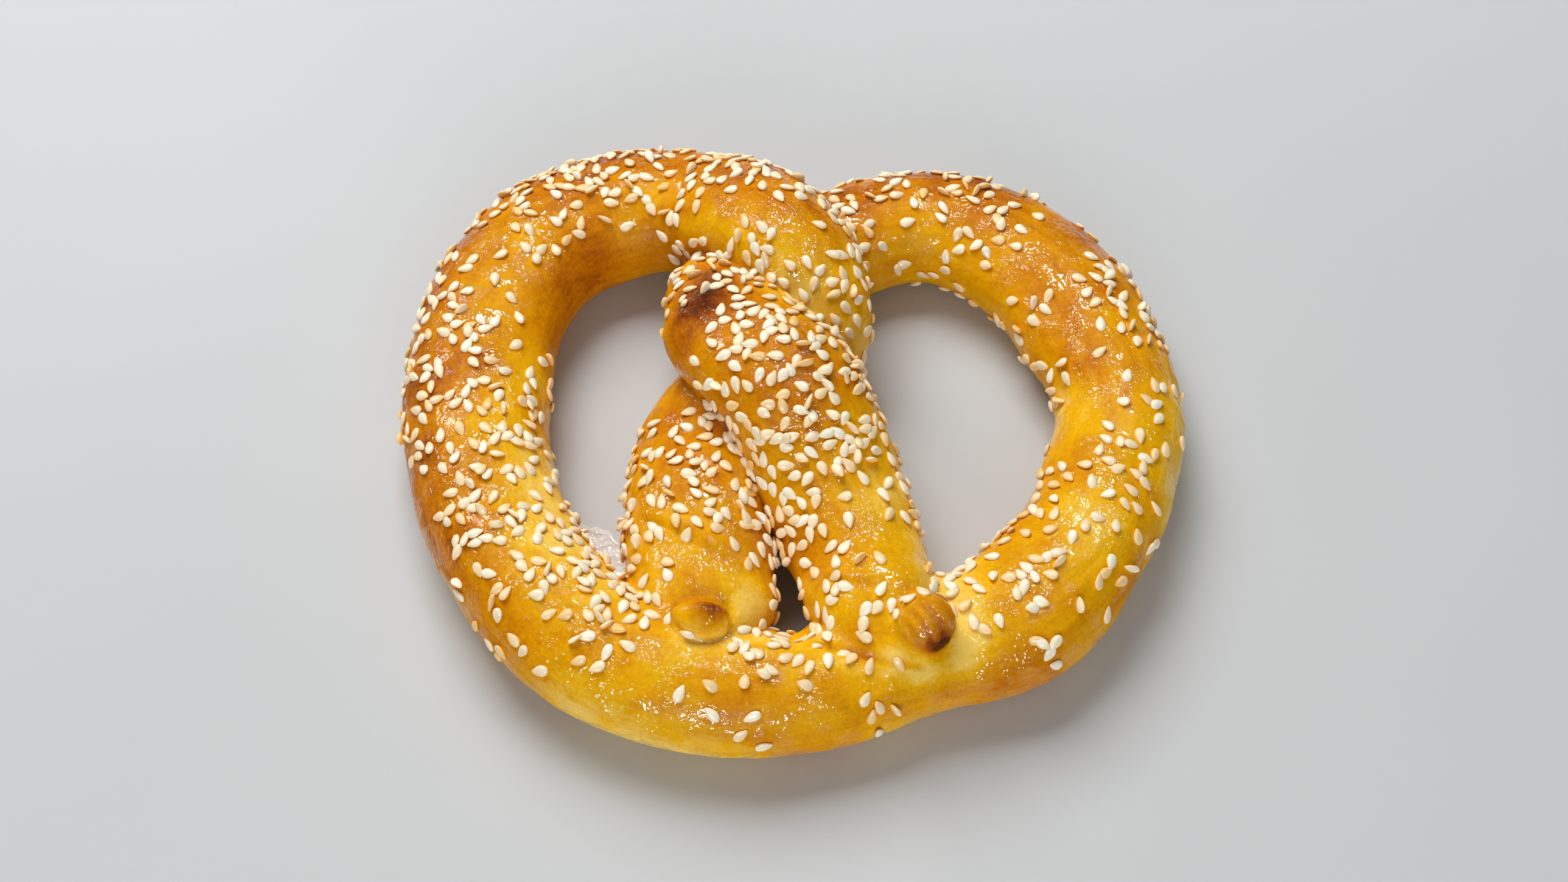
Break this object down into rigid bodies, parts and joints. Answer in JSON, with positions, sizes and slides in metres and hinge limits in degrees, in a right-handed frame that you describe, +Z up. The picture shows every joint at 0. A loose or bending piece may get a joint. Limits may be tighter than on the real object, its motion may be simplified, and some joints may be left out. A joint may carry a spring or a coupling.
{
  "type": "soft pretzel",
  "caption": "Soft baked pretzel: a rope of dough laid in lobes with a double twist, its ends pressed onto the front, with a glossy crust and sesame seeds.",
  "frame": {"origin": "on the table under the middle of the pretzel", "axes": "+Z up from the flat underside, +X across the two lobes towards the right lobe, -Y towards the front where the rope's ends are pressed down"},
  "size_m": [0.158, 0.1428, 0.0345],
  "materials": {
    "crust": "egg-washed golden brown crust, gloss_plastic stands in for baked dough",
    "sesame": "cream hulled sesame seeds, matte_plastic stands in for seed",
    "glaze": "clear dried glaze, glass stands in for egg wash"
  },
  "bodies": {
    "root": {"pretzel": "crust"}
  },
  "joints": []
}
